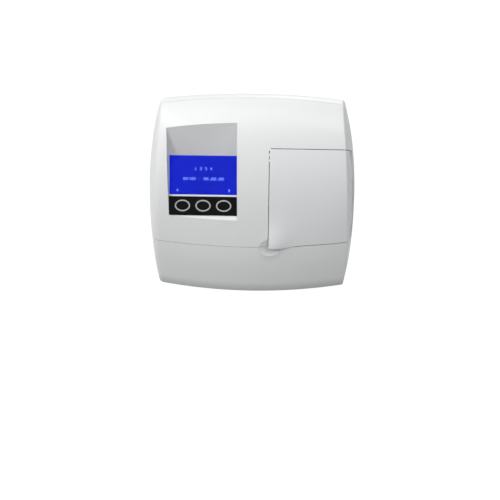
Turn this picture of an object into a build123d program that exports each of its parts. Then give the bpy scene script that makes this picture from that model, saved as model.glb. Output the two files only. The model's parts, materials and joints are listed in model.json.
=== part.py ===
from build123d import *
import os
from math import cos, exp, hypot, radians, sin, tan

os.makedirs("parts", exist_ok=True)

# A bench-top glycated hemoglobin analyzer. Sizes are in millimetres, +Z is up, -Y is the front.
# A setback is a distance behind the front bottom edge, and a height is above the table.

# Overall casing
casing_half_width = 103.2
casing_depth = 128.0
stand_height = 1.5
wall = 2.5
seam_gap = 0.4
fit_gap = 0.3
lean_angle = 10.0
parting_setback = 14.6
pull_reach = 6.44
rocker_reach = 2.85
crown_margin = 10.2
crown_half_span = casing_half_width - crown_margin
crest_height = 198.0
front_overhang = 13.0

# Middle profile of the casing: setback, height and sideways crown at the crown half span
casing_stations = [
    (3.0, -25.0, 12.0),
    (0.3, 0.0, 11.8),
    (-3.0, 42.0, 10.6),
    (-1.5, 75.0, 8.6),
    (3.0, 112.0, 6.8),
    (10.5, crest_height - 54.0, 6.2),
    (22.0, crest_height - 26.0, 6.2),
    (34.5, crest_height - 8.0, 6.4),
    (46.5, crest_height - 0.3, 6.4),
    (58.0, crest_height, 5.8),
    (74.0, crest_height - 9.1, 5.6),
    (100.0, crest_height - 23.4, 5.6),
    (140.0, crest_height - 48.0, 5.6),
]

# Side curve of the widest section: loss of half width and height along the leaning parting plane
side_stations = [
    (15.1, -35.0),
    (6.6, 0.0),
    (0.3, 86.0),
    (5.6, 152.0),
    (16.7, crest_height - 1.0),
    (33.1, crest_height + 34.0),
]

# Sections of the casing along the parting plane's normal: forward distance and loss of half width
barrel_sections = [(46.0, 14.3), (22.0, 7.2), (0.0, 0.0), (-45.0, 1.0), (-100.0, 4.5), (-140.0, 8.0)]

left_crease_radius = 8.0
right_crease_radius = 2.0
rear_edge_radius = 7.5

# Seam between front cover and base cover, and the door's opening
seam_height = 60.0
door_left = 17.0
door_top_setback = 17.4
door_top_drop = 36.0
door_top_height = crest_height - door_top_drop
door_top_slope = 33.0
door_gap = 0.6
door_sweep_margin = 6.2
door_sweep_x = casing_half_width - door_sweep_margin
door_sweep_length = 8.0
door_sweep_drop = 2.4

# Door, its pull and its hinge
pull_centre_x = 24.0
pull_centre_height = 63.0
pull_spread_x = 10.0
pull_spread_height = 13.0
pull_height = 4.6
scoop_x = 20.0
scoop_radii = (13.0, 4.4, 12.0)
scoop_setback = -4.4
scoop_wall = 2.0
hinge_margin = 9.2
hinge_x = casing_half_width - hinge_margin
crease_search_inset = 4.0
hinge_pin_overhang = 1.0
hinge_forward = 7.0
hinge_pin_radius = 1.25
hinge_running_gap = 0.06
knuckle_radius = 3.0
knuckle_length = 12.0
knuckle_gap = 0.4
door_arm_offset = 4.5
door_arm_width = 13.0
hinge_arm_thickness = 4.0
hinge_ear_length = 6.0
lower_knuckle_height = 74.0
upper_knuckle_height = 122.0
wing_edge_forward = 10.6
liner_front = 16.6
liner_thickness = 2.0
liner_margin = 4.0
liner_length = 86.0
liner_hinge_margin = 8.5
liner_corner_radius = 4.0
magnet_x = 26.5
magnet_height = 70.0
strip_half = 1.0
door_spacer_radius = 3.0
door_spacer_length = 30.0
door_spacer_low = 28.0
door_spacer_high = 22.0
door_spacer_inset = 12.0
door_spacer_hinge_inset = 16.0
magnet_radius = 3.0
magnet_thickness = 3.0
magnet_fit = 0.1

# Display pocket in the front cover
pocket_left = -81.0
pocket_right = -13.5
display_setback = 6.0
display_foot_height = 92.1
display_incline = 60.0
sill_slope = 18.0
ramp_foot_along = 58.6
ramp_top_setback = 25.5
pane_width = 66.4
pane_height = 37.8
pane_foot_along = 20.4
pane_thickness = 1.5
pane_air_gap = 0.12
module_width = 72.0
module_height = 42.0
module_thickness = 5.0
module_board_thickness = 1.6
module_board_margin = 1.5
module_drop = 0.8

# Keypad strip under the display
strip_height = 18.4
strip_thickness = 1.2
key_pitch = 20.3
key_width = 11.8
key_height = 8.2
key_centre_along = 9.4
key_rise = 0.3
key_travel = 0.8
key_flange = 1.2
key_flange_thickness = 1.0
ring_width = 1.2
ring_thickness = 0.4
ring_gap = 0.4
switch_size = 6.0
switch_height = 3.5
switch_plunger_radius = 1.7
switch_plunger_rise = 1.0
keypad_board_height = 15.0
keypad_board_foot = 0.6
keypad_board_margin = 3.0
keypad_boss_radius = 1.6

# Reaction chamber behind the door, in the leaning frame
chamber_centre_height = 110.0
chamber_face_forward = 13.3
seal_thickness = 1.0
catch_thickness = 1.0
chamber_width = 66.0
chamber_height = 84.0
chamber_depth = 44.0
chamber_corner_radius = 5.0
flange_margin = 2.0
flange_width = chamber_width + 2 * flange_margin
hinge_strip_gap = 5.5
chamber_centre_x = hinge_x - hinge_strip_gap - flange_width / 2
flange_height = 95.0
flange_thickness = 2.5
mouth_width = 56.0
mouth_height = 60.0
mouth_depth = 14.0
mouth_corner_radius = 6.0
mouth_taper = 4.0
seal_inset = 1.0
seal_width = 3.0
catch_width = 10.0
catch_height = 9.0
rotor_radius = 25.0
rotor_length = 24.0
rotor_gap = 0.6
rotor_slot_width = 30.0
rotor_slot_height = 9.0
rotor_slot_depth = 19.0
rotor_window_radius = 2.5
rotor_relief_turns = (60, 120, 240, 300)
rotor_relief_offset = 16.5
rotor_relief_radius = 5.0
rotor_relief_depth = 12.0
shaft_radius = 2.5
rotor_start = 14.5
bore_depth = 39.5
sight_depth = 26.0
sight_radius = 2.0
heater_thickness = 2.0
heater_height = 50.0
heater_depth = 28.0
stand_plate = 3.0
stand_depth = 30.0
stand_side_inset = 4.0
stand_front_gap = 1.0
motor_size = 35.0
motor_length = 26.0
motor_chamfer = 3.0
motor_bore_stop = 3.0
motor_screw_spacing = 26.0
motor_screw_radius = 2.6
motor_screw_height = 2.0
shaft_running_gap = 0.06
shaft_start_gap = 1.0
shaft_end_inset = 4.0
optic_size = 14.0
optic_length = 20.0

# Main board, its parts and the sockets at the back
board_width = 150.0
board_depth = 76.0
board_thickness = 1.6
board_height = 12.0
board_rear_gap = 2.0
post_radius = 3.5
board_post_inset = 6.0
board_rear_post_inset = 22.0
screw_hole_radius = 1.25
board_screw_foot = 1.0
board_screw_head = 2.8
board_screw_head_height = 2.0
case_screw_radius = 1.75
case_screw_head = 3.2
case_screw_sink = 1.6
case_screw_rise = 0.2
case_boss_radius = 4.5
case_boss_height = 22.0
case_screw_margin = 21.2
case_screw_x = casing_half_width - case_screw_margin
case_screw_length = 16.0
feet_radius = 6.0
foot_recess = 1.0
foot_fit = 0.1
foot_margin = 31.2
foot_x = casing_half_width - foot_margin
front_foot_setback = 32.0
rear_foot_setback = 112.0
socket_low = 13.3
jack_x = 62.0
jack_radius = 2.75
jack_width = 9.0
jack_depth = 14.0
jack_height = 11.0
jack_bore_depth = 9.0
jack_pin_radius = 1.0
jack_pin_length = 8.0
serial_x = -20.0
serial_width = 31.0
serial_shell_width = 17.0
serial_shell_height = 8.4
serial_body_height = 12.5
serial_depth = 12.0
serial_set_in = 1.0
serial_shell_angle = 80
serial_shell_wall = 0.7
serial_shell_depth = 6.0
serial_pin_pitch = 2.77
serial_row_offset = 1.42
serial_pin_radius = 0.5
serial_pin_length = 5.5
serial_pin_root = 7.0
serial_screw_spacing = 25.0
serial_nut_radius = 1.25
usb_x = 22.0
usb_width = 12.0
usb_height = 11.0
usb_depth = 16.0
usb_shell = 1.5
usb_mouth_width = 8.6
usb_mouth_depth = 9.0
usb_tongue_width = 5.6
usb_tongue_root = 10.0
usb_tongue_inset = 1.0
usb_tongue_low = 4.0
usb_tongue_thickness = 3.0
rocker_x = -66.0
rocker_width = 13.0
rocker_height = 19.0
rocker_depth = 12.0
rocker_centre_height = 44.0
rocker_tilt = 16.0
rocker_bezel = 1.5
rocker_pivot_depth = 2.0
rocker_cup_fit = 0.2
rocker_end_gap = 0.5
rocker_crown = 4.2
rocker_heel = 3.0
rocker_heel_inset = 1.2
rocker_rim_drop = 0.4
rocker_dish = 1.6
rocker_cup_wall = 1.0
rocker_side_gap = 0.3
trunnion_radius = 1.2
trunnion_running_gap = 0.05
serial_nut_depth = 6.0
vent_column = 22.0
vent_count = 9
vent_length = 34.0
vent_width = 3.0
vent_pitch = 7.0
vent_height = 112.0

# What stands on the main board: x, setback, width, depth and height
chips = [
    (-18.0, 84.0, 20.0, 20.0, 2.4),
    (14.0, 84.0, 12.0, 18.0, 2.2),
    (-48.0, 92.0, 14.0, 10.0, 2.2),
    (40.0, 98.0, 10.0, 8.0, 1.8),
    (-48.0, 72.0, 10.0, 10.0, 1.8),
]
headers = [(-40.0, 56.0, 28.0, 6.0, 8.0), (20.0, 62.0, 18.0, 6.0, 8.0)]
coin_cell_place = (50.0, 78.0)
coin_cell_radius = 10.0
coin_cell_height = 3.2
buzzer_place = (-62.0, 64.0)
buzzer_radius = 6.0
buzzer_height = 7.0
buzzer_floor = 5.0
buzzer_hole_radius = 1.2

body_mid_setback = (casing_depth + rocker_reach - pull_reach) / 2
parting_normal = (0, -cos(radians(lean_angle)), sin(radians(lean_angle)))


def at_setback(setback):
    return setback - body_mid_setback


def block(x0, x1, setback0, setback1, z0, z1):
    size = Box(x1 - x0, setback1 - setback0, z1 - z0)
    return Pos((x0 + x1) / 2, at_setback((setback0 + setback1) / 2), (z0 + z1) / 2) * size


def standing_cylinder(radius, height):
    return Cylinder(radius, height, align=(Align.CENTER, Align.CENTER, Align.MIN))


def standing(x, setback, low, radius, height):
    # An upright cylinder that starts at a height.
    return Pos(x, at_setback(setback), low) * standing_cylinder(radius, height)


def layer(low, high):
    # Everything the casing holds between two heights.
    reach = 3 * casing_half_width
    return block(-reach, reach, -reach, reach, low, high)


def leaning_plane(x, height, forward):
    # The plane's own y runs up along the lean and its z points to the front.
    setback = parting_setback + height * tan(radians(lean_angle))
    origin = Vector(x, at_setback(setback), height) + Vector(*parting_normal) * forward
    return Plane(origin=origin, x_dir=(1, 0, 0), z_dir=parting_normal)


# Casing form


def pull_bulge(x, height):
    across = ((x - pull_centre_x) / pull_spread_x) ** 2
    along = ((height - pull_centre_height) / pull_spread_height) ** 2
    return pull_height * exp(-(across + along) / 2)


def front_surface(inset, bulge, rows=30, columns=12):
    curve = Spline(*casing_stations)
    reach = casing_half_width + front_overhang
    grid = []
    for row in range(rows + 1):
        place = curve.position_at(row / rows)
        along = curve.tangent_at(row / rows)
        length = hypot(along.X, along.Y)
        inward = Vector(0, along.Y / length, -along.X / length)
        line = []
        for column in range(columns + 1):
            x = reach * (2 * column / columns - 1)
            depth = inset + place.Z * (x / crown_half_span) ** 2
            if bulge:
                depth -= bulge(x, place.Y)
            line.append(Vector(x, at_setback(place.X), place.Y) + inward * depth)
        grid.append(line)
    return Face.make_surface_from_array_of_points(grid, tol=0.02)


def casing_outline(forward, loss):
    right = [(casing_half_width - narrower - loss, along) for narrower, along in side_stations]
    left = [(-x, along) for x, along in reversed(right)]
    edges = [Spline(*right), Line(right[-1], left[0]), Spline(*left), Line(left[-1], right[0])]
    return Wire(edges).moved(leaning_plane(0, 0, forward).location)


def casing_solid(inset, floor, bulge=None, columns=12, rows=30):
    reach = 2 * casing_depth
    behind_front = Solid.extrude(front_surface(inset, bulge, rows, columns), Vector(0, reach, -reach))
    sections = [casing_outline(forward, loss + inset) for forward, loss in barrel_sections]
    barrel = Solid.make_loft(sections)
    span = 3 * casing_half_width
    bounds = block(-span, span, -span, casing_depth - inset, floor, span)
    return behind_front & barrel & bounds


def rear_edges(solid, inset):
    back = at_setback(casing_depth - inset)
    found = []
    for edge in solid.edges():
        middle = edge @ 0.5
        if abs(middle.Y - back) < 0.01 and middle.Z > seam_height:
            found.append(edge)
    return found


def crease_edges(solid, side):
    foot = stand_height + 0.5
    found = []
    for edge in solid.edges():
        middle = edge @ 0.5
        on_side = side * middle.X > 0 and middle.Z > seam_height
        if on_side and min((edge @ 0).Z, (edge @ 1).Z) < foot and edge.length > casing_depth:
            found.append(edge)
    return found


def rounded_casing():
    solid = casing_solid(0, stand_height)
    solid = solid.fillet(rear_edge_radius, rear_edges(solid, 0))
    solid = solid.fillet(left_crease_radius, crease_edges(solid, -1))
    return solid.fillet(right_crease_radius, crease_edges(solid, 1))


def inner_room(inset, floor):
    # The casing's inside: the same form, set in by a wall, with its own rear corners.
    solid = casing_solid(inset, floor)
    return solid.fillet(rear_edge_radius - inset, rear_edges(solid, inset))


def side_prism(points, x0, x1):
    # A prism across the casing whose side view has these setback and height points.
    outline = Polyline(*[(0, at_setback(setback), height) for setback, height in points], close=True)
    face = Face(Wire(outline.edges()))
    return Pos(x0, 0, 0) * Solid.extrude(face, Vector(x1 - x0, 0, 0))


def parting_setback_at(height, forward=0.0):
    return parting_setback + height * tan(radians(lean_angle)) - forward / cos(radians(lean_angle))


def ahead_of_parting(forward):
    top = 3 * casing_half_width
    points = [(-top, -top), (parting_setback_at(-top, forward), -top),
              (parting_setback_at(top, forward), top), (-top, top)]
    return side_prism(points, -top, top)


def door_prism(gap, forward):
    # The door's place: right of its left edge, over the seam, under the sloping top cut.
    slope = tan(radians(door_top_slope))
    front = -3 * pull_reach
    drop = gap / cos(radians(door_top_slope))
    low = seam_height + gap

    def top_height(setback):
        return door_top_height - drop - (setback - door_top_setback) * slope

    lean = tan(radians(lean_angle))
    base = parting_setback_at(0, forward)
    meet = (door_top_height - drop + door_top_setback * slope - base * slope) / (1 + slope * lean)
    rear_top = base + meet * lean
    points = [(front, low), (base + low * lean, low), (rear_top, meet), (front, top_height(front))]
    return side_prism(points, door_left + gap, 2 * casing_half_width)


# Display pocket


def display_plane(x, along=0.0, out=0.0):
    rise = radians(display_incline)
    normal = Vector(0, -sin(rise), cos(rise))
    up = Vector(0, cos(rise), sin(rise))
    origin = Vector(x, at_setback(display_setback), display_foot_height) + up * along + normal * out
    return Plane(origin=origin, x_dir=(1, 0, 0), z_dir=normal)


pocket_middle = (pocket_left + pocket_right) / 2


def pocket_prism(thickness):
    # The pocket's side view, or the view of its walls when a thickness is given.
    rise = radians(display_incline)
    fall = radians(sill_slope)
    back_normal = Vector(sin(rise), -cos(rise))
    sill_normal = Vector(sin(fall), -cos(fall))
    corner = (back_normal + sill_normal) * (thickness / (1 + back_normal.dot(sill_normal)))
    foot = Vector(display_setback, display_foot_height) + corner
    ramp_setback = display_setback + ramp_foot_along * cos(rise) + thickness
    back_start = Vector(display_setback, display_foot_height) + back_normal * thickness
    ramp_height = back_start.Y + (ramp_setback - back_start.X) * tan(rise)
    ceiling = crest_height + wall
    front = -3 * pull_reach
    points = [
        (foot.X, foot.Y),
        (ramp_setback, ramp_height),
        (ramp_top_setback + thickness, ceiling),
        (front, ceiling),
        (front, foot.Y - (foot.X - front) * tan(fall)),
    ]
    return side_prism(points, pocket_left - thickness, pocket_right + thickness)


def oval(width, height, thickness):
    return extrude(Ellipse(width / 2, height / 2), amount=thickness)


def key_places():
    steps = {"left": -1, "middle": 0, "right": 1}
    return [(name, pocket_middle + step * key_pitch) for name, step in steps.items()]


def keyed_holes(margin, low, high):
    holes = []
    for _, x in key_places():
        tool = oval(key_width + 2 * margin, key_height + 2 * margin, high - low)
        holes.append(display_plane(x, key_centre_along, low).location * tool)
    return holes


# Covers


outer_casing = rounded_casing()
floor_top = stand_height + wall
inner_casing = inner_room(wall, -wall)
shell = outer_casing - inner_casing


def scoop(extra):
    radii = [radius + extra for radius in scoop_radii]
    stretch = Matrix([[radii[0], 0, 0, 0], [0, radii[1], 0, 0], [0, 0, radii[2], 0]])
    stretched = Sphere(1).solids()[0].transform_geometry(stretch)
    return Pos(scoop_x, at_setback(scoop_setback), seam_height) * stretched


def front_cover():
    ahead = ahead_of_parting(seam_gap)
    reach = casing_half_width
    above = layer(seam_height, 2 * crest_height)
    cover = shell & ahead & above
    tray = pocket_prism(wall) & outer_casing & ahead
    cover = cover + tray
    cover = cover - pocket_prism(0)
    left_of_door = block(door_left - reach, door_left, -reach, reach, seam_height, crest_height)
    cover = cover + (scoop(scoop_wall) & outer_casing & left_of_door)
    cover = cover - scoop(0)
    cover = cover - door_prism(0, -seam_gap)
    window = display_plane(pocket_middle, pane_foot_along + pane_height / 2, -wall)
    opening = Pos(0, 0, wall) * Box(pane_width + 2 * fit_gap, pane_height + 2 * fit_gap, 4 * wall)
    cover = cover - window.location * opening
    for hole in keyed_holes(fit_gap, -2 * wall, wall):
        cover = cover - hole
    for side in (-1, 1):
        place = display_plane(pocket_middle + side * (1.5 * key_pitch), key_centre_along, keypad_board_out())
        boss = standing_cylinder(keypad_boss_radius, -keypad_board_out() - wall / 2)
        cover = cover + place.location * boss
    return cover


def base_cover():
    ahead = ahead_of_parting(seam_gap)
    below = layer(0, seam_height - seam_gap)
    slab = layer(0, floor_top)
    cover = (shell & ahead & below) + (outer_casing & ahead & slab)
    cover = cover + (inner_room(wall + fit_gap, stand_height) & slab)
    cover = cover + (scoop(scoop_wall) & outer_casing & below)
    cover = cover - scoop(0) - door_sweep_relief()
    for x, setback in board_posts():
        post = standing(x, setback, floor_top, post_radius, board_height - floor_top)
        cover = (cover + post) - standing(x, setback, floor_top, screw_hole_radius, board_height)
    for x, setback in foot_places():
        cover = cover - standing(x, setback, 0, feet_radius + foot_fit, stand_height + foot_recess)
    for x, setback in case_screw_places():
        cover = cover - standing(x, setback, 0, case_screw_radius + fit_gap, 2 * floor_top)
        cover = cover - standing(x, setback, 0, case_screw_head + fit_gap, stand_height + case_screw_sink)
    return cover


def door_sweep_relief():
    # Room at the base cover's right rear corner for the door's low corner as it swings.
    low = seam_height - door_sweep_drop
    parting = parting_setback_at(low)
    front = parting - door_sweep_length
    rear = parting + wall
    points = [(front, seam_height), (rear, seam_height), (rear, low), (front + 2 * door_sweep_drop, low)]
    return side_prism(points, door_sweep_x, 2 * casing_half_width)


def keypad_board_out():
    return -(wall + fit_gap + key_flange_thickness + key_travel + fit_gap + switch_height)


def board_posts():
    front = casing_depth - wall - board_rear_gap - board_depth
    side = board_width / 2 - board_post_inset
    insets = (board_post_inset, board_depth - board_rear_post_inset)
    return [(x, front + inset) for x in (-side, side) for inset in insets]


def foot_places():
    return [(x, setback) for x in (-foot_x, foot_x) for setback in (front_foot_setback, rear_foot_setback)]


def case_screw_places():
    return [(x, casing_depth - wall / 2 - case_boss_radius) for x in (-case_screw_x, case_screw_x)]


def rear_housing():
    housing = shell - ahead_of_parting(0)
    for x, setback in case_screw_places():
        boss = standing(x, setback, floor_top + fit_gap, case_boss_radius, case_boss_height)
        housing = housing + (boss & outer_casing)
        housing = housing - standing(x, setback, 0, screw_hole_radius, case_boss_height)
    wall_span = (casing_depth - 2 * wall, casing_depth + wall)
    for index in range(vent_count):
        height = vent_height + (index - (vent_count - 1) / 2) * vent_pitch
        for x in (-vent_column, vent_column):
            slot = Box(vent_length, 3 * wall, vent_width)
            housing = housing - Pos(x, at_setback(casing_depth), height) * slot
    cut_outs = [
        (jack_x, jack_width, jack_height),
        (usb_x, usb_width, usb_height),
        (serial_x, serial_width, serial_body_height),
    ]
    for x, width, height in cut_outs:
        half = width / 2 + fit_gap
        top = socket_low + height + 2 * fit_gap
        housing = housing - block(x - half, x + half, *wall_span, socket_low, top)
    left = rocker_x - rocker_width / 2
    low = rocker_centre_height - rocker_height / 2
    return housing - block(left, left + rocker_width, *wall_span, low, low + rocker_height)


# Door


def door_outer():
    return casing_solid(0, stand_height, pull_bulge, 48, 60)


def door_skin():
    # The casing's own wall in the door's place, with its crease rounded as the covers' is.
    skin = (door_outer() & door_prism(door_gap, wing_edge_forward)) - inner_casing
    creases = []
    for edge in skin.edges():
        middle = edge @ 0.5
        tall = abs((edge @ 0).Z - (edge @ 1).Z) > (door_top_height - seam_height) / 2
        ahead = middle.Y < hinge_plane(middle.Z).origin.Y - 2 * wall
        if tall and ahead and middle.X > hinge_x - crease_search_inset:
            creases.append(edge)
    outermost = max(creases, key=lambda edge: (edge @ 0.5).X)
    return skin.fillet(right_crease_radius, [outermost])


def hinge_plane(height, x=0.0, forward=0.0):
    return leaning_plane(hinge_x + x, height, hinge_forward + forward)


def barrel_at(height, radius, length):
    # A cylinder round the hinge axis that starts at a height.
    place = hinge_plane(height)
    turned = Plane(origin=place.origin, x_dir=(1, 0, 0), z_dir=place.y_dir)
    return turned.location * standing_cylinder(radius, length)


def lean_block(place, width, length, depth):
    # A block centred across its plane's x, upwards along its y and backwards from the plane.
    return place.location * Box(width, length, depth, align=(Align.CENTER, Align.MIN, Align.MAX))


def door_spacer_places():
    low = seam_height + door_spacer_low
    high = door_top_height - door_spacer_high
    columns = (door_left + door_spacer_inset, hinge_x - door_spacer_hinge_inset)
    return [(x, height) for x in columns for height in (low, high)]


def cartridge_door():
    outer = door_outer()
    prism = door_prism(door_gap, wing_edge_forward)
    door = door_skin()
    for x, height in door_spacer_places():
        place = leaning_plane(x, height, liner_front)
        spacer = standing_cylinder(door_spacer_radius, door_spacer_length)
        door = door + ((place.location * spacer) & outer & prism)
    reach = hinge_forward + 3 * knuckle_radius
    for height in (lower_knuckle_height, upper_knuckle_height):
        arm_plane = hinge_plane(height, door_arm_offset, reach - hinge_forward)
        arm = lean_block(arm_plane, door_arm_width, knuckle_length, reach - hinge_forward)
        door = door + (arm & outer & ahead_of_parting(hinge_forward))
        door = door + barrel_at(height, knuckle_radius, knuckle_length)
    axis_gap = hinge_pin_radius + hinge_running_gap
    return door - barrel_at(lower_knuckle_height - hinge_ear_length, axis_gap, upper_knuckle_height)


def door_liner():
    left = door_left + door_gap + liner_margin
    width = hinge_x - liner_hinge_margin - left
    middle = left + width / 2
    low = seam_height + door_gap + liner_margin
    place = leaning_plane(middle, low, liner_front)
    plate = lean_block(place, width, liner_length, liner_thickness)
    corners = [edge for edge in plate.edges() if abs(edge.length - liner_thickness) < 0.01]
    plate = plate.fillet(liner_corner_radius, corners)
    return plate - magnet_place() * Cylinder(magnet_radius + magnet_fit, 10 * liner_thickness)


def magnet_place():
    return leaning_plane(magnet_x, magnet_height, liner_front - liner_thickness).location


def door_magnet():
    return magnet_place() * standing_cylinder(magnet_radius, magnet_thickness)


def hinge_pin():
    low = lower_knuckle_height - knuckle_gap - hinge_ear_length
    high = upper_knuckle_height + knuckle_length + knuckle_gap + hinge_ear_length
    length = (high - low + hinge_pin_overhang) / cos(radians(lean_angle))
    return barrel_at(low - hinge_pin_overhang, hinge_pin_radius, length)


def hinge_bracket():
    low = lower_knuckle_height - knuckle_gap - hinge_ear_length
    ears = []
    for knuckle in (lower_knuckle_height, upper_knuckle_height):
        ears.append(knuckle - knuckle_gap - hinge_ear_length)
        ears.append(knuckle + knuckle_length + knuckle_gap)
    length = ears[-1] + hinge_ear_length - low
    flange_edge = chamber_centre_x + flange_width / 2 - hinge_x
    face = chamber_face_forward - hinge_forward
    strip_place = hinge_plane(low, flange_edge + strip_half, face)
    bracket = lean_block(strip_place, 2 * strip_half, length, face + hinge_forward)
    for height in ears:
        arm_width = -flange_edge
        arm_plane = hinge_plane(height, flange_edge / 2, hinge_arm_thickness / 2)
        arm = lean_block(arm_plane, arm_width, hinge_ear_length, hinge_arm_thickness)
        bracket = bracket + arm + barrel_at(height, knuckle_radius, hinge_ear_length)
    return bracket - barrel_at(low - wall, hinge_pin_radius, 2 * upper_knuckle_height)


# Display and keypad


def display_window():
    place = display_plane(pocket_middle, pane_foot_along + pane_height / 2, -pane_thickness)
    pane = Box(pane_width, pane_height, pane_thickness, align=(Align.CENTER, Align.CENTER, Align.MIN))
    return place.location * pane


def display_module():
    middle = pane_foot_along + (pane_height - module_drop) / 2
    glass = display_plane(pocket_middle, middle, -wall)
    rise = wall - pane_thickness - pane_air_gap
    raised = Box(pane_width, pane_height - module_drop, rise, align=(Align.CENTER, Align.CENTER, Align.MIN))
    body = back_box(module_width, module_height, module_thickness)
    return glass.location * (raised + body)


def display_board():
    middle = pane_foot_along + (pane_height - module_drop) / 2
    place = display_plane(pocket_middle, middle, -wall - module_thickness)
    width = module_width + 2 * module_board_margin
    return place.location * back_box(width, module_height, module_board_thickness)


def keypad_panel():
    width = pocket_right - pocket_left - 2 * fit_gap
    place = display_plane(pocket_middle, strip_height / 2, 0)
    panel = Box(width, strip_height, strip_thickness, align=(Align.CENTER, Align.CENTER, Align.MIN))
    panel = place.location * panel
    for hole in keyed_holes(fit_gap, -wall, 2 * wall):
        panel = panel - hole
    return panel


def key_rings():
    rings = []
    for _, x in key_places():
        width = key_width + 2 * ring_gap
        height = key_height + 2 * ring_gap
        outer = oval(width + 2 * ring_width, height + 2 * ring_width, ring_thickness)
        inner = oval(width, height, ring_thickness)
        rings.append(display_plane(x, key_centre_along, strip_thickness).location * (outer - inner))
    return rings


def key_cap(x):
    low = -wall - fit_gap
    top = strip_thickness + key_rise
    cap = display_plane(x, key_centre_along, low).location * oval(key_width, key_height, top - low)
    rim = oval(key_width + 2 * key_flange, key_height + 2 * key_flange, key_flange_thickness)
    return cap + display_plane(x, key_centre_along, low - key_flange_thickness).location * rim


def keypad_board():
    out = keypad_board_out()
    place = display_plane(pocket_middle, keypad_board_foot, out)
    width = 3 * key_pitch + 2 * keypad_board_margin
    return lean_block(place, width, keypad_board_height, module_board_thickness)


def tact_switches():
    switches = []
    for _, x in key_places():
        place = display_plane(x, key_centre_along, keypad_board_out())
        body_height = switch_height - switch_plunger_rise
        base = Box(switch_size, switch_size, body_height, align=(Align.CENTER, Align.CENTER, Align.MIN))
        plunger = standing_cylinder(switch_plunger_radius, switch_height)
        switches.append(place.location * (base + plunger))
    return switches


# Reaction chamber


def chamber_plane(x=0.0, along=0.0, back=0.0):
    lean = radians(lean_angle)
    height = chamber_centre_height + along * cos(lean)
    return leaning_plane(chamber_centre_x + x, height, chamber_face_forward - back)


def in_chamber(shape, x=0.0, along=0.0, back=0.0):
    return chamber_plane(x, along, back).location * shape


def back_box(width, height, depth):
    return Box(width, height, depth, align=(Align.CENTER, Align.CENTER, Align.MAX))


def back_cylinder(radius, depth):
    return Cylinder(radius, depth, align=(Align.CENTER, Align.CENTER, Align.MAX))


def chamber_housing():
    flange = back_box(flange_width, flange_height, flange_thickness)
    body = back_box(chamber_width, chamber_height, chamber_depth)
    body = body.fillet(chamber_corner_radius, body.edges().filter_by(Axis.Z))
    outline = RectangleRounded(mouth_width, mouth_height, mouth_corner_radius)
    mouth = extrude(outline, amount=-mouth_depth, taper=mouth_taper)
    bore = back_cylinder(rotor_radius + rotor_gap, bore_depth)
    housing = flange + body - mouth - bore - back_cylinder(shaft_radius + fit_gap, chamber_depth)
    sight = Pos(0, 0, -sight_depth) * Rot(90, 0, 0) * Cylinder(sight_radius, chamber_height + wall)
    return in_chamber(housing - sight)


def chamber_seal():
    width = mouth_width + 2 * seal_inset
    height = mouth_height + 2 * seal_inset
    outer_radius = mouth_corner_radius + seal_width
    outer = RectangleRounded(width + 2 * seal_width, height + 2 * seal_width, outer_radius)
    inner = RectangleRounded(width, height, mouth_corner_radius)
    return in_chamber(extrude(outer - inner, amount=seal_thickness))


def catch_plate():
    x = magnet_x - chamber_centre_x
    along = (magnet_height - chamber_centre_height) / cos(radians(lean_angle))
    plate = Box(catch_width, catch_height, catch_thickness, align=(Align.CENTER, Align.CENTER, Align.MIN))
    return in_chamber(plate, x, along)


def cartridge_rotor():
    drum = back_cylinder(rotor_radius, rotor_length)
    slot = back_box(rotor_slot_width, rotor_slot_height, rotor_slot_depth)
    drum = drum - slot - back_cylinder(shaft_radius, rotor_length)
    across = Cylinder(rotor_window_radius, 2 * rotor_radius + wall)
    window = Pos(0, 0, rotor_start - sight_depth) * Rot(90, 0, 0) * across
    for turn in rotor_relief_turns:
        relief = back_cylinder(rotor_relief_radius, rotor_relief_depth)
        drum = drum - Rot(0, 0, turn) * Pos(rotor_relief_offset, 0, 0) * relief
    return in_chamber(drum - window, 0, 0, rotor_start)


def rotor_shaft():
    start = rotor_start + rotor_slot_depth + shaft_start_gap
    length = chamber_depth + motor_length - shaft_end_inset - start
    return in_chamber(back_cylinder(shaft_radius, length), 0, 0, start)


def drive_motor():
    body = back_box(motor_size, motor_size, motor_length)
    body = body.chamfer(motor_chamfer, None, body.edges().filter_by(Axis.Z))
    bore = back_cylinder(shaft_radius + shaft_running_gap, motor_length - motor_bore_stop)
    return in_chamber(body - bore, 0, 0, chamber_depth)


def motor_screws():
    screws = []
    half = motor_screw_spacing / 2
    for x in (-half, half):
        for along in (-half, half):
            head = back_cylinder(motor_screw_radius, motor_screw_height)
            screws.append(in_chamber(head, x, along, chamber_depth + motor_length))
    return screws


def optic_block(side):
    size = Box(optic_size, optic_length, optic_size)
    bore = Rot(90, 0, 0) * Cylinder(sight_radius, optic_length / 2)
    place = Pos(0, side * (chamber_height / 2 + optic_length / 2), -sight_depth)
    return in_chamber(place * (size - Pos(0, -side * optic_length / 4, 0) * bore))


def heater_plate():
    plate = Box(heater_thickness, heater_height, heater_depth)
    return in_chamber(Pos(-(chamber_width + heater_thickness) / 2, 0, -chamber_depth / 2) * plate)


def chamber_stand():
    half = chamber_width / 2 - stand_side_inset
    left = chamber_centre_x - half
    right = chamber_centre_x + half
    low_front = chamber_plane(0, -chamber_height / 2, flange_thickness + stand_front_gap).origin
    low_back = chamber_plane(0, -chamber_height / 2, stand_depth).origin
    front = low_front.Y + body_mid_setback
    back = low_back.Y + body_mid_setback
    points = [(front, floor_top), (back, floor_top), (back, low_back.Z), (front, low_front.Z)]
    stand = block(left, right, front, back, floor_top, floor_top + stand_plate)
    for x in (left, right - stand_plate):
        stand = stand + side_prism(points, x, x + stand_plate)
    return stand


# Electronics and sockets


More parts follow.
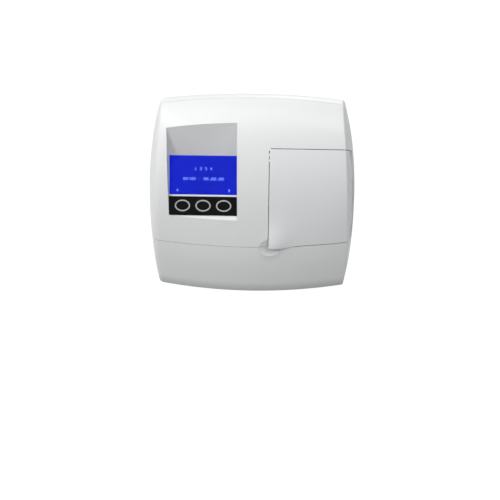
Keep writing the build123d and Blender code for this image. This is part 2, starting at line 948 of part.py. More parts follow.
def main_board():
    rear = casing_depth - wall - board_rear_gap
    half = board_width / 2
    board = block(-half, half, rear - board_depth, rear, board_height, board_height + board_thickness)
    for x, place in board_posts():
        board = board - standing(x, place, 0, screw_hole_radius + fit_gap, 2 * board_height)
    return board


def board_screws():
    top = board_height + board_thickness
    screws = []
    for x, place in board_posts():
        foot = floor_top + board_screw_foot
        shank = standing(x, place, foot, screw_hole_radius, top - foot)
        screws.append(shank + standing(x, place, top, board_screw_head, board_screw_head_height))
    return screws


def on_board(x, setback, width, depth, height):
    top = board_height + board_thickness
    return block(x - width / 2, x + width / 2, setback - depth / 2, setback + depth / 2, top, top + height)


def board_chips():
    return [on_board(*chip) for chip in chips]


def board_headers():
    return [on_board(*header) for header in headers]


def coin_cell():
    return standing(*coin_cell_place, board_height + board_thickness, coin_cell_radius, coin_cell_height)


def buzzer():
    low = board_height + board_thickness
    can = standing(*buzzer_place, low, buzzer_radius, buzzer_height)
    return can - standing(*buzzer_place, low + buzzer_floor, buzzer_hole_radius, buzzer_height)


def rearward_pin(x, setback, height, radius, length):
    return Pos(x, at_setback(setback), height) * Rot(-90, 0, 0) * standing_cylinder(radius, length)


def power_socket():
    back = casing_depth
    body = block(jack_x - jack_width / 2, jack_x + jack_width / 2, back - jack_depth, back,
                 socket_low + fit_gap, socket_low + fit_gap + jack_height)
    middle = socket_low + fit_gap + jack_height / 2
    bore = Pos(jack_x, at_setback(back), middle) * Rot(90, 0, 0) * Cylinder(jack_radius, 2 * jack_bore_depth)
    root = back - jack_bore_depth
    return (body - bore) + rearward_pin(jack_x, root, middle, jack_pin_radius, jack_pin_length)


def usb_socket():
    back = casing_depth
    low = socket_low + fit_gap
    half = usb_width / 2
    mouth = usb_mouth_width / 2
    tongue = usb_tongue_width / 2
    tongue_low = low + usb_tongue_low
    body = block(usb_x - half, usb_x + half, back - usb_depth, back, low, low + usb_height)
    cavity = block(usb_x - mouth, usb_x + mouth, back - usb_mouth_depth, back + wall,
                   low + usb_shell, low + usb_height - usb_shell)
    blade = block(usb_x - tongue, usb_x + tongue, back - usb_tongue_root, back - usb_tongue_inset,
                  tongue_low, tongue_low + usb_tongue_thickness)
    return (body - cavity) + blade


def serial_port():
    back = casing_depth
    low = socket_low + fit_gap
    middle = low + serial_body_height / 2
    face = back - serial_set_in
    half = serial_width / 2
    body = block(serial_x - half, serial_x + half, back - serial_depth, face, low, low + serial_body_height)
    frame = Plane(origin=(serial_x, at_setback(face), middle), x_dir=(-1, 0, 0), z_dir=(0, 1, 0)).location
    inner_width = serial_shell_width - 2 * serial_shell_wall
    inner_height = serial_shell_height - 2 * serial_shell_wall
    outer = Trapezoid(serial_shell_width, serial_shell_height, serial_shell_angle)
    inner = Trapezoid(inner_width, inner_height, serial_shell_angle)
    port = body + frame * extrude(outer, amount=serial_set_in)
    port = port - frame * extrude(inner, amount=-serial_shell_depth)
    port = port - frame * extrude(inner, amount=serial_set_in)
    for count, along in ((5, serial_row_offset), (4, -serial_row_offset)):
        for index in range(count):
            x = serial_x + (index - (count - 1) / 2) * serial_pin_pitch
            root = back - serial_pin_root
            port = port + rearward_pin(x, root, middle + along, serial_pin_radius, serial_pin_length)
    for side in (-1, 1):
        place = Pos(serial_x + side * serial_screw_spacing / 2, at_setback(face), middle)
        port = port - place * Rot(90, 0, 0) * Cylinder(serial_nut_radius, 2 * serial_nut_depth)
    return port


def rocker_pivot(length, radius):
    # A cylinder across the rocker, on the axis that it tilts about.
    place = Pos(rocker_x, at_setback(casing_depth - rocker_pivot_depth), rocker_centre_height)
    return place * Rot(0, 90, 0) * Cylinder(radius, length)


def rocker_frame():
    back = casing_depth
    low = rocker_centre_height - rocker_height / 2
    high = rocker_centre_height + rocker_height / 2
    left = rocker_x - rocker_width / 2
    right = rocker_x + rocker_width / 2
    edge = rocker_bezel
    bezel = block(left - edge, right + edge, back, back + edge, low - edge, high + edge)
    fit = rocker_cup_fit
    body = block(left + fit, right - fit, back - rocker_depth, back, low + fit, high - fit)
    inset = fit + rocker_cup_wall
    room = block(left + inset, right - inset, back - rocker_depth + edge, back + 2 * edge,
                 low + inset, high - inset)
    return bezel + body - room - rocker_pivot(rocker_width, trunnion_radius + trunnion_running_gap)


def power_rocker():
    half = rocker_width / 2 - rocker_cup_fit - rocker_cup_wall - rocker_side_gap
    reach = rocker_height / 2 - rocker_cup_fit - rocker_cup_wall - rocker_end_gap
    pivot = casing_depth - rocker_pivot_depth
    crown = rocker_crown
    heel = -rocker_heel
    rim = crown - rocker_rim_drop
    hollow = crown - rocker_dish
    narrow = reach - rocker_heel_inset
    points = [(heel, -narrow), (rim, -reach), (hollow, 0), (rim, reach), (heel, narrow)]
    turn = radians(rocker_tilt / 2)
    turned = []
    for out, up in points:
        setback = pivot + out * cos(turn) - up * sin(turn)
        turned.append((setback, rocker_centre_height + out * sin(turn) + up * cos(turn)))
    rocker = side_prism(turned, rocker_x - half, rocker_x + half)
    return rocker + rocker_pivot(rocker_width - 2 * rocker_cup_fit - fit_gap, trunnion_radius)


def rubber_feet():
    return [standing(x, setback, 0, feet_radius, stand_height + foot_recess) for x, setback in foot_places()]


def case_screws():
    screws = []
    for x, setback in case_screw_places():
        low = stand_height + case_screw_rise
        head = standing(x, setback, low, case_screw_head, case_screw_sink - case_screw_rise)
        shank = standing(x, setback, stand_height + case_screw_sink, screw_hole_radius, case_screw_length)
        screws.append(head + shank)
    return screws


def write_node(name, shape):
    solids = []
    for item in shape if isinstance(shape, list) else [shape]:
        solids.extend(item.solids())
    node = solids[0] if len(solids) == 1 else Compound(children=solids)
    export_step(node, f"parts/{name}.step")


nodes = {
    "front_cover": front_cover(),
    "base_cover": base_cover(),
    "rear_housing": rear_housing(),
    "cartridge_door": cartridge_door(),
    "door_liner": door_liner(),
    "door_magnet": door_magnet(),
    "hinge_pin": hinge_pin(),
    "hinge_bracket": hinge_bracket(),
    "display_window": display_window(),
    "display_module": display_module(),
    "display_board": display_board(),
    "keypad_panel": keypad_panel(),
    "key_rings": key_rings(),
    "keypad_board": keypad_board(),
    "tact_switches": tact_switches(),
    "chamber_housing": chamber_housing(),
    "chamber_seal": chamber_seal(),
    "catch_plate": catch_plate(),
    "cartridge_rotor": cartridge_rotor(),
    "rotor_shaft": rotor_shaft(),
    "drive_motor": drive_motor(),
    "motor_screws": motor_screws(),
    "light_source": optic_block(1),
    "light_detector": optic_block(-1),
    "heater_plate": heater_plate(),
    "chamber_stand": chamber_stand(),
    "main_board": main_board(),
    "board_screws": board_screws(),
    "board_chips": board_chips(),
    "board_headers": board_headers(),
    "coin_cell": coin_cell(),
    "buzzer": buzzer(),
    "power_socket": power_socket(),
    "usb_socket": usb_socket(),
    "serial_port": serial_port(),
    "rocker_frame": rocker_frame(),
    "power_rocker": power_rocker(),
    "rubber_feet": rubber_feet(),
    "case_screws": case_screws(),
}
for side, x in key_places():
    nodes[f"key_{side}"] = key_cap(x)

for name, shape in nodes.items():
    write_node(name, shape)
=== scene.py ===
import json
import math

import bpy
from mathutils import Matrix, Vector


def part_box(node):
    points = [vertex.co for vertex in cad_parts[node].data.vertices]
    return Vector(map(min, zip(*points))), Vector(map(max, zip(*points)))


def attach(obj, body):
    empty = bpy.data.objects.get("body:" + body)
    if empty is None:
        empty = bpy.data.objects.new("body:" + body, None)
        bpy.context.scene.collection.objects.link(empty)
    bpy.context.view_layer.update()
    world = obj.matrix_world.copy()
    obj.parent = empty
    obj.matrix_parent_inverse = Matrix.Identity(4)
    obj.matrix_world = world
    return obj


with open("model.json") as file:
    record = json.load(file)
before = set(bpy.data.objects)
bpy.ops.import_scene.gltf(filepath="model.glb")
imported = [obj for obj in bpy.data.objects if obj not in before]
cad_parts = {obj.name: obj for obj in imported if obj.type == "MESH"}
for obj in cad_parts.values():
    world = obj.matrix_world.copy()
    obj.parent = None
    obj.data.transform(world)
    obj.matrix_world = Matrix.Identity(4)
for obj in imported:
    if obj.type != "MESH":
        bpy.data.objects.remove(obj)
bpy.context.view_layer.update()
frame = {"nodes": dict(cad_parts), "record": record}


# Node helpers

noiseRange = (0.3, 0.7)  # nearly all of a noise lies between these


def newMaterial(name):
    material = bpy.data.materials.new(name)
    material.use_nodes = True
    tree = material.node_tree
    return material, tree, tree.nodes["Principled BSDF"]


def objectSpace(tree, stretch=(1, 1, 1), turn=(0, 0, 0)):
    coords = tree.nodes.new("ShaderNodeTexCoord")
    mapping = tree.nodes.new("ShaderNodeMapping")
    mapping.inputs["Scale"].default_value = stretch
    mapping.inputs["Rotation"].default_value = turn
    tree.links.new(coords.outputs["Object"], mapping.inputs["Vector"])
    return mapping.outputs["Vector"]


def noise(tree, vector, size, detail=2.0, roughness=0.5):
    node = tree.nodes.new("ShaderNodeTexNoise")
    node.inputs["Scale"].default_value = 1 / size  # size of one grain in metres
    node.inputs["Detail"].default_value = detail
    node.inputs["Roughness"].default_value = roughness
    tree.links.new(vector, node.inputs["Vector"])
    return node.outputs["Fac"]


def ranged(tree, value, before, after=(0.0, 1.0), smooth=False):
    # maps one range of values onto another
    node = tree.nodes.new("ShaderNodeMapRange")
    if smooth:
        node.interpolation_type = "SMOOTHSTEP"
    node.inputs["From Min"].default_value, node.inputs["From Max"].default_value = before
    node.inputs["To Min"].default_value, node.inputs["To Max"].default_value = after
    tree.links.new(value, node.inputs["Value"])
    return node.outputs["Result"]


def worked(tree, operation, first, second):
    # one step of arithmetic: a value with another value or with a plain number
    node = tree.nodes.new("ShaderNodeMath")
    node.operation = operation
    tree.links.new(first, node.inputs[0])
    if isinstance(second, float):
        node.inputs[1].default_value = second
    else:
        tree.links.new(second, node.inputs[1])
    return node.outputs[0]


def mixed(tree, factor, first, second):
    node = tree.nodes.new("ShaderNodeMix")
    node.data_type = "RGBA"
    node.inputs["A"].default_value = (*first, 1)
    node.inputs["B"].default_value = (*second, 1)
    tree.links.new(factor, node.inputs["Factor"])
    return node.outputs["Result"]


def darker(colour, share):
    return tuple(c * (1 - share) for c in colour)


def patchy(tree, vector, colour, share, size, detail=2.0):
    # the colour, and patches of a size where it is darker by a share
    patches = ranged(tree, noise(tree, vector, size, detail), noiseRange)
    return mixed(tree, patches, colour, darker(colour, share))


def tinted(tree, colour, factor, shade):
    # the colour, multiplied by a shade where the factor is high
    node = tree.nodes.new("ShaderNodeMix")
    node.data_type = "RGBA"
    node.blend_type = "MULTIPLY"
    node.inputs["B"].default_value = (*shade, 1)
    tree.links.new(factor, node.inputs["Factor"])
    tree.links.new(colour, node.inputs["A"])
    return node.outputs["Result"]


def roughened(tree, shader, pattern, limits):
    # roughness that follows a noise between two limits
    tree.links.new(ranged(tree, pattern, noiseRange, limits), shader.inputs["Roughness"])


def bumped(tree, shader, height, distance, strength):
    node = tree.nodes.new("ShaderNodeBump")
    node.inputs["Distance"].default_value = distance
    node.inputs["Strength"].default_value = strength
    tree.links.new(height, node.inputs["Height"])
    tree.links.new(node.outputs["Normal"], shader.inputs["Normal"])


# Moulded plastic

plasticSet = {
    "toneDetail": 3.0, "glossDetail": 4.0,
    "glossFineness": 3,  # gloss patches are a third of tone patches
    "grainDetail": 2.0, "grainRoughness": 0.6, "seamSamples": 8,
    "openShare": 0.52, "deepShare": 0.20,  # free sky at a seam's rim and deep in it
    "pullShadeCore": 0.35,  # share of the painted shade spot's reach that is fully shaded
}


def seamShadeMask(tree, reach):
    # painted shade in seams and gaps, from ambient occlusion: 1 deep in a seam, 0 on open surface
    node = tree.nodes.new("ShaderNodeAmbientOcclusion")
    node.samples = plasticSet["seamSamples"]
    node.inputs["Distance"].default_value = reach
    return ranged(tree, node.outputs["AO"], (plasticSet["openShare"], plasticSet["deepShare"]))


def roundSpot(tree, vector, place, reach):
    # 1 at a place, fading to 0 at its reach
    distance = tree.nodes.new("ShaderNodeVectorMath")
    distance.operation = "DISTANCE"
    distance.inputs[1].default_value = place
    tree.links.new(vector, distance.inputs[0])
    limits = (reach, reach * plasticSet["pullShadeCore"])
    return ranged(tree, distance.outputs["Value"], limits, smooth=True)


def floorShadeMask(tree, vector, height):
    # painted shade near the floor: 1 at the floor, fading to 0 at a height
    split = tree.nodes.new("ShaderNodeSeparateXYZ")
    tree.links.new(vector, split.inputs["Vector"])
    return ranged(tree, split.outputs["Z"], (height, 0.0), smooth=True)


def mouldedPlastic(name, look):
    # satin moulding: spark-eroded grain, a broad faint tone change and uneven gloss,
    # and where its look asks for them, painted shade in the seams, under the door's pull and near
    # the floor
    material, tree, shader = newMaterial(name)
    vector = objectSpace(tree)
    toneSize = look["toneSize"]
    colour = patchy(tree, vector, look["colour"], look["toneShare"], toneSize,
                    plasticSet["toneDetail"])
    if "seamReach" in look:
        # painted shade: the seams and gaps are darkened where little sky reaches them
        colour = tinted(tree, colour, seamShadeMask(tree, look["seamReach"]), look["seamShade"])
    if "pullShadePlace" in look:
        # painted shade in the finger scoop under the door's pull: a round spot, darkest in its
        # middle
        pullShade = roundSpot(tree, vector, look["pullShadePlace"], look["pullShadeReach"])
        colour = tinted(tree, colour, pullShade, look["pullShadeTone"])
    if "floorShadeHeight" in look:
        # painted shade: the lowest part of the casing darkens towards the floor
        shaded = floorShadeMask(tree, vector, look["floorShadeHeight"])
        colour = tinted(tree, colour, shaded, look["floorShadeTone"])
    tree.links.new(colour, shader.inputs["Base Color"])
    glossSize = toneSize / plasticSet["glossFineness"]
    gloss = noise(tree, vector, glossSize, plasticSet["glossDetail"])
    roughened(tree, shader, gloss, look["roughness"])
    grain = noise(tree, vector, look["grainSize"], plasticSet["grainDetail"],
                  plasticSet["grainRoughness"])
    bumped(tree, shader, grain, look["grainDepth"], look["grainStrength"])
    shader.inputs["Specular IOR Level"].default_value = look.get("reflection", 0.5)
    return material


# Metal, circuit boards and rubber

metalSet = {
    "lineDetail": 3.0, "lineRoughness": 0.7, "lineStrength": 0.5,
    "stainDetail": 4.0, "tarnish": 0.18,
}
boardSet = {
    "resin": (0.02, 0.16, 0.07), "resinShare": 0.12, "track": (0.06, 0.30, 0.14),
    "trackPitch": 0.004, "trackWidth": 0.06, "trackHeight": 0.00004, "trackStrength": 0.6,
    "glossSize": 0.004, "glossDetail": 3.0, "roughness": (0.25, 0.4),
}
rubberSet = {
    "dustSize": 0.006, "dustDetail": 5.0,
    "glossSize": 0.002, "glossDetail": 3.0, "roughness": (0.7, 0.9),
    "grainDetail": 3.0, "grainRoughness": 0.7, "grainStrength": 0.8,
}


def metal(name, look):
    # drawn or brushed metal: fine lines along one direction and faint tarnish
    material, tree, shader = newMaterial(name)
    shader.inputs["Metallic"].default_value = 1.0
    stretched = objectSpace(tree, look["stretch"])
    lines = noise(tree, stretched, look["lineSize"], metalSet["lineDetail"],
                  metalSet["lineRoughness"])
    colour = patchy(tree, objectSpace(tree), look["colour"], metalSet["tarnish"], look["stainSize"],
                    metalSet["stainDetail"])
    tree.links.new(colour, shader.inputs["Base Color"])
    roughened(tree, shader, lines, look["roughness"])
    bumped(tree, shader, lines, look["lineDepth"], metalSet["lineStrength"])
    return material


def circuitBoard(name, look):
    # solder resist over copper: the tracks stand slightly proud and read a lighter green
    material, tree, shader = newMaterial(name)
    vector = objectSpace(tree)
    tracks = tree.nodes.new("ShaderNodeTexBrick")
    tracks.inputs["Scale"].default_value = 1 / look["trackPitch"]
    tracks.inputs["Mortar Size"].default_value = look["trackWidth"]
    tracks.inputs["Color1"].default_value = (*look["resin"], 1)
    tracks.inputs["Color2"].default_value = (*darker(look["resin"], look["resinShare"]), 1)
    tracks.inputs["Mortar"].default_value = (*look["track"], 1)
    tree.links.new(vector, tracks.inputs["Vector"])
    tree.links.new(tracks.outputs["Color"], shader.inputs["Base Color"])
    gloss = noise(tree, vector, look["glossSize"], look["glossDetail"])
    roughened(tree, shader, gloss, look["roughness"])
    bumped(tree, shader, tracks.outputs["Fac"], look["trackHeight"], look["trackStrength"])
    return material


def rubber(name, look):
    # dull rubber or foam with dust in patches
    material, tree, shader = newMaterial(name)
    vector = objectSpace(tree)
    dust = noise(tree, vector, rubberSet["dustSize"], rubberSet["dustDetail"])
    colour = mixed(tree, ranged(tree, dust, noiseRange), look["colour"], look["dust"])
    tree.links.new(colour, shader.inputs["Base Color"])
    gloss = noise(tree, vector, rubberSet["glossSize"], rubberSet["glossDetail"])
    roughened(tree, shader, gloss, rubberSet["roughness"])
    grain = noise(tree, vector, look["grainSize"], rubberSet["grainDetail"],
                  rubberSet["grainRoughness"])
    bumped(tree, shader, grain, look["grainDepth"], rubberSet["grainStrength"])
    return material


# Display: the clear pane and the lit module under it

displayRise = math.radians(60)  # the display's slope, up from flat
displayOut = (0.0, -math.sin(displayRise), math.cos(displayRise))
paneSet = {
    "colour": (0.93, 0.95, 1.0), "tintSize": 0.03, "tintShare": 0.04,
    "smearSize": 0.02, "smearDetail": 4.0,
    "smearStretch": (1.0, 0.4, 0.4), "smearTurn": (0, 0, 0.5),
    "roughness": (0.02, 0.06), "reflection": 0.5, "bend": 1.12,
}
moduleSet = {
    "glow": (0.0014, 0.012, 0.60), "strength": 1.0,
    "unevenSize": 0.06, "unevenDetail": 1.0, "unevenShare": 0.12,
    "facing": 0.9,  # only what faces this nearly out of the display is lit
    "unlit": (0.001, 0.002, 0.012), "reflection": 0.05, "glossSize": 0.01, "roughness": (0.3, 0.4),
    "cellPitch": 0.0005, "cellGap": 0.06, "cellDepth": 0.00001, "cellStrength": 0.3,
}


def clearPane(name, look):
    # clear cover: faint smears change the gloss, and the tint varies a little
    material, tree, shader = newMaterial(name)
    wiped = objectSpace(tree, look["smearStretch"], look["smearTurn"])
    smears = noise(tree, wiped, look["smearSize"], look["smearDetail"])
    roughened(tree, shader, smears, look["roughness"])
    colour = patchy(tree, objectSpace(tree), look["colour"], look["tintShare"], look["tintSize"])
    tree.links.new(colour, shader.inputs["Base Color"])
    shader.inputs["Transmission Weight"].default_value = 1.0
    shader.inputs["IOR"].default_value = look["bend"]
    shader.inputs["Specular IOR Level"].default_value = look["reflection"]
    return material


def litScreen(name, look):
    # backlit module: its front gives a deep, slightly uneven light through a fine grid of cells
    material, tree, shader = newMaterial(name)
    vector = objectSpace(tree)
    glow = patchy(tree, vector, look["glow"], look["unevenShare"], look["unevenSize"],
                  look["unevenDetail"])
    tree.links.new(glow, shader.inputs["Emission Color"])
    shader.inputs["Base Color"].default_value = (*look["unlit"], 1)
    shader.inputs["Specular IOR Level"].default_value = look["reflection"]
    surface = tree.nodes.new("ShaderNodeNewGeometry")
    facing = tree.nodes.new("ShaderNodeVectorMath")
    facing.operation = "DOT_PRODUCT"
    facing.inputs[1].default_value = displayOut
    tree.links.new(surface.outputs["Normal"], facing.inputs[0])
    front = worked(tree, "GREATER_THAN", facing.outputs["Value"], look["facing"])
    light = worked(tree, "MULTIPLY", front, look["strength"])
    tree.links.new(light, shader.inputs["Emission Strength"])
    cells = tree.nodes.new("ShaderNodeTexBrick")
    cells.offset = 0.0
    cells.inputs["Scale"].default_value = 1 / look["cellPitch"]
    cells.inputs["Brick Width"].default_value = 1.0
    cells.inputs["Row Height"].default_value = 1.0
    cells.inputs["Mortar Size"].default_value = look["cellGap"]
    tree.links.new(vector, cells.inputs["Vector"])
    bumped(tree, shader, cells.outputs["Fac"], look["cellDepth"], look["cellStrength"])
    roughened(tree, shader, noise(tree, vector, look["glossSize"]), look["roughness"])
    return material


# One finish for each material slot of the record

finishes = {
    "white_moulding": (mouldedPlastic, {
        "colour": (0.79, 0.80, 0.80), "toneShare": 0.015, "toneSize": 0.05,
        "roughness": (0.36, 0.46), "grainSize": 0.0005, "grainDepth": 0.00002,
        # seamReach and seamShade give painted shade in the seams and gaps
        "grainStrength": 0.35, "seamReach": 0.0020, "seamShade": (0.22, 0.22, 0.22),
        "pullShadePlace": (0.020, -0.068, 0.055),  # painted shade in the finger scoop under the door's pull, where fingers reach
        "pullShadeReach": 0.0155, "pullShadeTone": (0.83, 0.83, 0.83),
        # painted shade near the floor
        "floorShadeHeight": 0.015, "floorShadeTone": (0.66, 0.66, 0.665)}),
    "door_moulding": (mouldedPlastic, {
        "colour": (0.785, 0.795, 0.81), "toneShare": 0.015, "toneSize": 0.05,
        # seamReach and seamShade give painted shade in the door's gaps
        "roughness": (0.38, 0.48), "seamReach": 0.0020, "seamShade": (0.22, 0.22, 0.22),
        "grainSize": 0.0005, "grainDepth": 0.00002, "grainStrength": 0.35}),
    "grey_moulding": (mouldedPlastic, {
        "colour": (0.55, 0.56, 0.57), "toneShare": 0.04, "toneSize": 0.03,
        "roughness": (0.45, 0.58), "grainSize": 0.0006, "grainDepth": 0.00003,
        "grainStrength": 0.5}),
    "dark_moulding": (mouldedPlastic, {
        "colour": (0.045, 0.045, 0.05), "toneShare": 0.25, "toneSize": 0.02,
        "roughness": (0.42, 0.60), "grainSize": 0.0004, "grainDepth": 0.00003,
        "grainStrength": 0.5}),
    "rotor_moulding": (mouldedPlastic, {
        "colour": (0.26, 0.28, 0.31), "toneShare": 0.08, "toneSize": 0.02,
        "roughness": (0.35, 0.5), "grainSize": 0.0004, "grainDepth": 0.00002,
        "grainStrength": 0.5}),
    "rocker_moulding": (mouldedPlastic, {
        "colour": (0.02, 0.02, 0.021), "toneShare": 0.2, "toneSize": 0.01,
        "roughness": (0.16, 0.28), "grainSize": 0.0003, "grainDepth": 0.00001,
        "grainStrength": 0.3}),
    "black_panel": (mouldedPlastic, {
        "colour": (0.004, 0.004, 0.004), "toneShare": 0.2, "toneSize": 0.02,
        "roughness": (0.24, 0.34), "reflection": 0.06, "grainSize": 0.0003,
        "grainDepth": 0.00001, "grainStrength": 0.4}),
    "key_rubber": (mouldedPlastic, {
        "colour": (0.004, 0.004, 0.004), "toneShare": 0.2, "toneSize": 0.006,
        "roughness": (0.3, 0.42), "reflection": 0.06, "grainSize": 0.0003,
        "grainDepth": 0.00001, "grainStrength": 0.4}),
    "ring_print": (mouldedPlastic, {
        "colour": (0.42, 0.42, 0.42), "toneShare": 0.08, "toneSize": 0.003,
        "roughness": (0.45, 0.55), "grainSize": 0.0002, "grainDepth": 0.00001,
        "grainStrength": 0.5}),
    "clear_pane": (clearPane, paneSet),
    "display_face": (litScreen, moduleSet),
    "circuit_board": (circuitBoard, boardSet),
    "chip_resin": (mouldedPlastic, {
        "colour": (0.03, 0.03, 0.032), "toneShare": 0.1, "toneSize": 0.004,
        "roughness": (0.5, 0.65), "grainSize": 0.0002, "grainDepth": 0.00001,
        "grainStrength": 0.6}),
    "foam": (rubber, {
        "colour": (0.05, 0.05, 0.05), "dust": (0.09, 0.09, 0.09), "grainSize": 0.0005,
        "grainDepth": 0.0001}),
    "foot_rubber": (rubber, {
        "colour": (0.02, 0.02, 0.02), "dust": (0.06, 0.06, 0.058), "grainSize": 0.0008,
        "grainDepth": 0.00004}),
    "steel": (metal, {
        "colour": (0.62, 0.62, 0.63), "stretch": (1, 1, 12), "lineSize": 0.002,
        "lineDepth": 0.00001, "stainSize": 0.02, "roughness": (0.22, 0.4)}),
    "plated_magnet": (metal, {
        "colour": (0.70, 0.70, 0.71), "stretch": (1, 1, 1), "lineSize": 0.001,
        "lineDepth": 0.000004, "stainSize": 0.004, "roughness": (0.1, 0.2)}),
    "motor_metal": (metal, {
        "colour": (0.20, 0.20, 0.21), "stretch": (1, 8, 1), "lineSize": 0.002,
        "lineDepth": 0.00001, "stainSize": 0.01, "roughness": (0.4, 0.55)}),
    "aluminium": (metal, {
        "colour": (0.74, 0.74, 0.76), "stretch": (1, 1, 16), "lineSize": 0.003,
        "lineDepth": 0.00001, "stainSize": 0.03, "roughness": (0.3, 0.45)}),
    "socket_metal": (metal, {
        "colour": (0.60, 0.60, 0.61), "stretch": (6, 1, 1), "lineSize": 0.001,
        "lineDepth": 0.000006, "stainSize": 0.006, "roughness": (0.25, 0.4)}),
}

slotOf = {part["node"]: part["material_slot"] for part in frame["record"]["subparts"]}
finished = {slot: make(slot, look) for slot, (make, look) in finishes.items()}
for node, piece in frame["nodes"].items():
    for place in piece.material_slots:
        place.material = finished[slotOf[node]]
print("finishes made:", len(finished), "for", len(frame["nodes"]), "nodes")


# Camera, at the photograph's place

cameraSet = {
    "place": (0.01695, -0.7390, 0.561), "down": 36.8, "turn": 1.5,
    "lens": 60.48, "sensor": 36.0, "near": 0.01,
}
cameraData = bpy.data.cameras.new("camera")
cameraData.lens = cameraSet["lens"]
cameraData.sensor_width = cameraSet["sensor"]
cameraData.clip_start = cameraSet["near"]
camera = bpy.data.objects.new("camera", cameraData)
camera.location = cameraSet["place"]
camera.rotation_euler = (math.radians(90 - cameraSet["down"]), 0, math.radians(cameraSet["turn"]))
bpy.context.scene.collection.objects.link(camera)
bpy.context.scene.camera = camera


# Floor, sky and lamps

stageSet = {
    "reach": 6.0, "drop": 0.0002, "floorColour": (0.20, 0.20, 0.20), "roughness": 0.9,
    "reflection": 0.1, "fibreSize": 0.002, "fibreDetail": 3.0, "fibreShare": 0.01,
    "floorGlow": 0.92,  # the floor's own light, only where it is seen
    "skyLevel": 0.34,  # the sky's light on the object
}
lampSet = {
    "frontLamp": {
        "place": (-0.10, -0.60, 1.05), "aim": (0, 0, 0.08), "size": (1.0, 0.8), "power": 3.8},
    "leftLamp": {
        "place": (-0.50, -0.80, 0.90), "aim": (0, 0, 0.1), "size": (0.2, 0.2), "power": 3.1},
    "rightLamp": {
        "place": (0.50, -0.80, 0.90), "aim": (0, 0, 0.1), "size": (0.2, 0.2), "power": 2.0},
    "backLamp": {
        "place": (0.30, 1.20, 0.90), "aim": (0, 0, 0.1), "size": (0.8, 0.6), "power": 4.5},
    "farLeftLamp": {
        "place": (-1.0, -0.20, 0.85), "aim": (-0.02, 0, 0.1), "size": (0.4, 0.4), "power": 4.8},
}


def seenDirectly(tree):
    # 1 for what the camera sees, straight or in gloss and glass
    path = tree.nodes.new("ShaderNodeLightPath")
    straight = worked(tree, "MAXIMUM", path.outputs["Is Camera Ray"], path.outputs["Is Glossy Ray"])
    return worked(tree, "MAXIMUM", straight, path.outputs["Is Transmission Ray"])


def layFloor():
    reach, height = stageSet["reach"], -stageSet["drop"]
    mesh = bpy.data.meshes.new("floor")
    corners = [(x * reach, y * reach, height) for x, y in ((-1, -1), (1, -1), (1, 1), (-1, 1))]
    mesh.from_pydata(corners, [], [(0, 1, 2, 3)])
    floor = bpy.data.objects.new("floor", mesh)
    bpy.context.scene.collection.objects.link(floor)
    material, tree, shader = newMaterial("floorPaper")
    fibre = noise(tree, objectSpace(tree), stageSet["fibreSize"], stageSet["fibreDetail"])
    colour = stageSet["floorColour"]
    paper = mixed(tree, fibre, colour, darker(colour, stageSet["fibreShare"]))
    tree.links.new(paper, shader.inputs["Base Color"])
    shader.inputs["Roughness"].default_value = stageSet["roughness"]
    shader.inputs["Specular IOR Level"].default_value = stageSet["reflection"]
    shader.inputs["Emission Color"].default_value = (1, 1, 1, 1)
    glow = worked(tree, "MULTIPLY", seenDirectly(tree), stageSet["floorGlow"])
    tree.links.new(glow, shader.inputs["Emission Strength"])
    mesh.materials.append(material)


def makeSky():
    world = bpy.data.worlds.new("studio")
    world.use_nodes = True
    tree = world.node_tree
    background = tree.nodes["Background"]
    background.inputs["Color"].default_value = (1, 1, 1, 1)
    level = ranged(tree, seenDirectly(tree), (0.0, 1.0), (stageSet["skyLevel"], 1.0))
    tree.links.new(level, background.inputs["Strength"])
    bpy.context.scene.world = world


def hangLamp(name, look):
    data = bpy.data.lights.new(name, "AREA")
    data.shape = "RECTANGLE"
    data.size, data.size_y = look["size"]
    data.energy = look["power"]
    lamp = bpy.data.objects.new(name, data)
    lamp.location = look["place"]
    down = Vector(look["aim"]) - Vector(look["place"])
    lamp.rotation_euler = down.to_track_quat("-Z", "Y").to_euler()
    bpy.context.scene.collection.objects.link(lamp)


layFloor()
makeSky()
for lampName, lampLook in lampSet.items():
    hangLamp(lampName, lampLook)
bpy.context.scene.view_settings.view_transform = "Standard"
print("stage, sky and lamps set")


# Lit dots on the display: plain numerals and two arrow marks

dotFont = {  # seven rows of five dots
    "0": "01110 10001 10011 10101 11001 10001 01110",
    "1": "00100 01100 00100 00100 00100 00100 01110",
    "2": "01110 10001 00001 00110 01000 10000 11111",
    "3": "11110 00001 00001 01110 00001 00001 11110",
    "4": "00010 00110 01010 10010 11111 00010 00010",
    "-": "00000 00000 00000 01110 00000 00000 00000",
    ".": "00000 00000 00000 00000 00000 00110 00110",
    ":": "00000 00110 00110 00000 00110 00110 00000",
    "<": "00010 00110 01110 11110 01110 00110 00010",
    ">": "01000 01100 01110 01111 01110 01100 01000",
    " ": "00000 00000 00000 00000 00000 00000 00000",
}
screenSet = {
    "lines": [  # text, and the place of its middle across and up the display
        ("1 2 3 4", 0.0, 0.0063), ("00:00 - 00.00.00", 0.0, -0.0036),
        ("<", -0.0255, -0.0150), (">", 0.0255, -0.0150)],
    "dotPitch": 0.00042, "dotSize": 0.00037, "dotHeight": 0.00005,
    "letterPitch": 6, "middleRow": 3,  # in dots
    "paneThickness": 0.0015, "airGap": 0.00012, "lift": 0.00003,
    "glow": (0.20, 0.32, 0.95), "patchShare": 0.15, "patchSize": 0.01,
    "strength": 0.62, "roughness": 0.4,
}


def screenPlane():
    # the display's own plane from its box: middle, right, up along the slope and out of it
    low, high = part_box("display_window")
    up = Vector((0, math.cos(displayRise), math.sin(displayRise)))
    return (low + high) / 2, Vector((1, 0, 0)), up, Vector(displayOut)


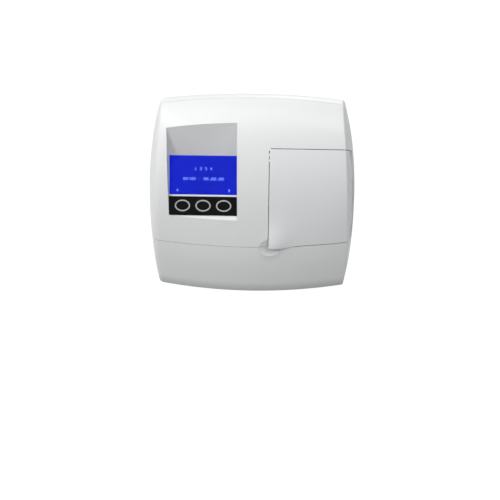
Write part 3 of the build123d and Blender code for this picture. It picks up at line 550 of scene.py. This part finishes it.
def dotPlaces():
    pitch, letterPitch = screenSet["dotPitch"], screenSet["letterPitch"]
    places = []
    for text, across, along in screenSet["lines"]:
        width = (letterPitch * len(text) - 1) * pitch
        for place, letter in enumerate(text):
            for row, bits in enumerate(dotFont[letter].split()):
                for column, bit in enumerate(bits):
                    if bit == "1":
                        x = across - width / 2 + (letterPitch * place + column + 0.5) * pitch
                        places.append((x, along + (screenSet["middleRow"] - row) * pitch))
    return places


def dotTree(material):
    # one small plate on every point, in the points' own flat plane
    tree = bpy.data.node_groups.new("litDots", "GeometryNodeTree")
    tree.interface.new_socket("Geometry", in_out="INPUT", socket_type="NodeSocketGeometry")
    tree.interface.new_socket("Dot Size", in_out="INPUT", socket_type="NodeSocketFloat")
    tree.interface.new_socket("Dot Height", in_out="INPUT", socket_type="NodeSocketFloat")
    tree.interface.new_socket("Geometry", in_out="OUTPUT", socket_type="NodeSocketGeometry")
    nodes, links = tree.nodes, tree.links
    source = nodes.new("NodeGroupInput")
    size = nodes.new("ShaderNodeCombineXYZ")
    links.new(source.outputs["Dot Size"], size.inputs["X"])
    links.new(source.outputs["Dot Size"], size.inputs["Y"])
    links.new(source.outputs["Dot Height"], size.inputs["Z"])
    plate = nodes.new("GeometryNodeMeshCube")
    links.new(size.outputs["Vector"], plate.inputs["Size"])
    points = nodes.new("GeometryNodeMeshToPoints")
    links.new(source.outputs["Geometry"], points.inputs["Mesh"])
    spots = nodes.new("GeometryNodeInstanceOnPoints")
    links.new(points.outputs["Points"], spots.inputs["Points"])
    links.new(plate.outputs["Mesh"], spots.inputs["Instance"])
    real = nodes.new("GeometryNodeRealizeInstances")
    links.new(spots.outputs["Instances"], real.inputs["Geometry"])
    dress = nodes.new("GeometryNodeSetMaterial")
    dress.inputs["Material"].default_value = material
    links.new(real.outputs["Geometry"], dress.inputs["Geometry"])
    end = nodes.new("NodeGroupOutput")
    links.new(dress.outputs["Geometry"], end.inputs["Geometry"])
    return tree


def grown(seed, tree, values, name):
    # runs a tree on a seed mesh and keeps the result as a plain mesh
    modifier = seed.modifiers.new("grow", "NODES")
    modifier.node_group = tree
    for item in tree.interface.items_tree:
        if item.in_out == "INPUT" and item.name in values:
            modifier[item.identifier] = values[item.name]
    seen = seed.evaluated_get(bpy.context.evaluated_depsgraph_get())
    mesh = bpy.data.meshes.new_from_object(seen)
    seed.modifiers.remove(modifier)
    bpy.data.objects.remove(seed)
    piece = bpy.data.objects.new(name, mesh)
    bpy.context.scene.collection.objects.link(piece)
    return piece


def makeScreenDots():
    material, tree, shader = newMaterial("screenDots")
    glow = patchy(tree, objectSpace(tree), screenSet["glow"], screenSet["patchShare"],
                  screenSet["patchSize"])
    tree.links.new(glow, shader.inputs["Emission Color"])
    tree.links.new(glow, shader.inputs["Base Color"])
    shader.inputs["Emission Strength"].default_value = screenSet["strength"]
    shader.inputs["Roughness"].default_value = screenSet["roughness"]
    seedMesh = bpy.data.meshes.new("dotSeed")
    seedMesh.from_pydata([(x, y, 0.0) for x, y in dotPlaces()], [], [])
    seed = bpy.data.objects.new("dotSeed", seedMesh)
    bpy.context.scene.collection.objects.link(seed)
    values = {"Dot Size": screenSet["dotSize"], "Dot Height": screenSet["dotHeight"]}
    dots = grown(seed, dotTree(material), values, "screen_dots")
    middle, right, up, out = screenPlane()
    back = middle - out * (screenSet["paneThickness"] / 2 + screenSet["airGap"] - screenSet["lift"])
    turn = Matrix((right, up, out)).transposed().to_4x4()
    dots.data.transform(Matrix.Translation(back) @ turn)
    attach(dots, "casing")


makeScreenDots()
print("screen dots made")
